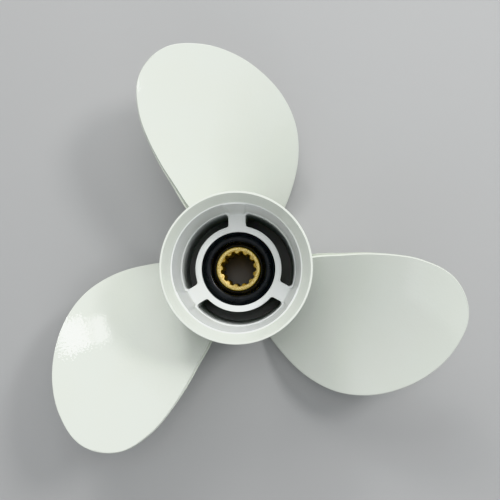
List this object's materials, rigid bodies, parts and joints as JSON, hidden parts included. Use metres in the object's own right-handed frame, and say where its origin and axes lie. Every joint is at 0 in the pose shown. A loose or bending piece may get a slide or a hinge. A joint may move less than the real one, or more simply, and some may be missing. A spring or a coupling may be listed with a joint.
{
  "type": "outboard boat propeller",
  "caption": "Right-hand boat propeller: wide skewed blades on a flared through-hub exhaust barrel, with webbed inner hub, rubber bushing and splined brass sleeve.",
  "frame": {"origin": "on the shaft axis, in the plane of the barrel's forward end, on which the propeller stands", "axes": "+Z along the shaft axis towards the flared exhaust end, which is aft on a boat; +Y through the middle of one web; +X to the right of it seen from aft"},
  "size_m": [0.2546, 0.2455, 0.108],
  "materials": {
    "white_paint": "gloss white paint over cast aluminium",
    "black_rubber": "moulded, satin",
    "brass": "machined"
  },
  "bodies": {
    "root": {"propeller_casting": "white_paint", "rubber_bushing": "black_rubber", "splined_sleeve": "brass"}
  },
  "joints": []
}
